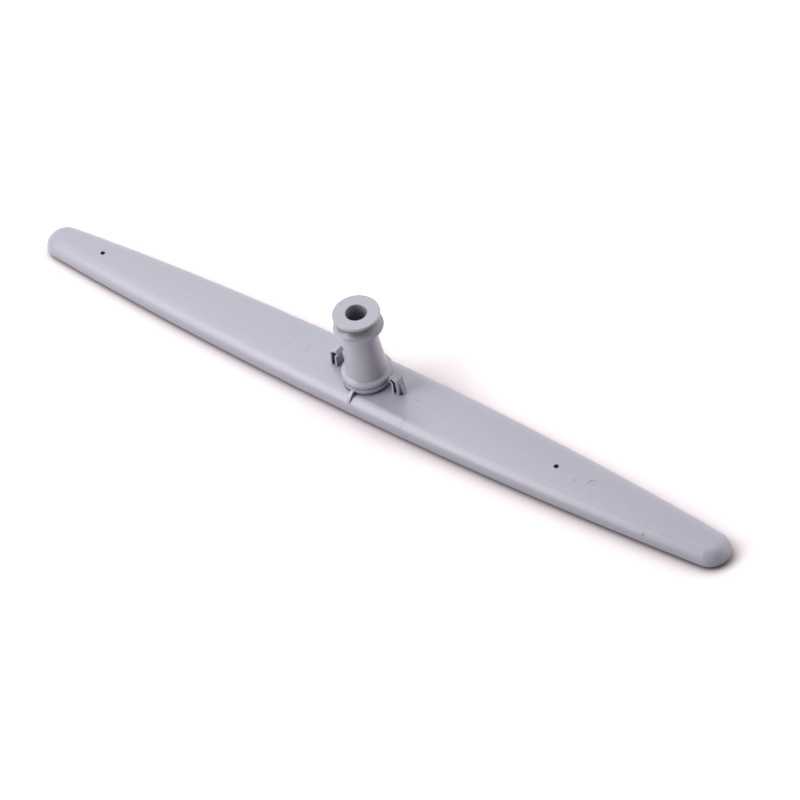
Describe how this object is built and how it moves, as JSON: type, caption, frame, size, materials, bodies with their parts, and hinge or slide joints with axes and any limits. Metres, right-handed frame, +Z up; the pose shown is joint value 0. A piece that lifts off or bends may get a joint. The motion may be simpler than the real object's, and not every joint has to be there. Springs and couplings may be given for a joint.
{
  "type": "dishwasher spray arm",
  "caption": "Slender hollow spray arm of pale grey plastic with small jets, side clips at the hub and a short turning feed stem with a collared head.",
  "frame": {"origin": "on the table, under the stem's axis, at the middle of the arm", "axes": "+X along the arm, +Z up along the feed stem, the jet face down"},
  "size_m": [0.461, 0.0394, 0.063],
  "materials": {
    "upper_shell_plastic": "satin moulded polypropylene",
    "lower_shell_plastic": "satin moulded polypropylene",
    "feed_stem_plastic": "satin moulded polypropylene"
  },
  "bodies": {
    "arm": {"upper_shell": "upper_shell_plastic", "lower_shell": "lower_shell_plastic"},
    "stem": {"feed_stem": "feed_stem_plastic"}
  },
  "joints": [
    {"name": "stem_spin", "type": "hinge", "parent": "arm", "child": "stem", "pos_m": [0, 0, 0.018], "axis": [0, 0, 1], "continuous": true}
  ]
}
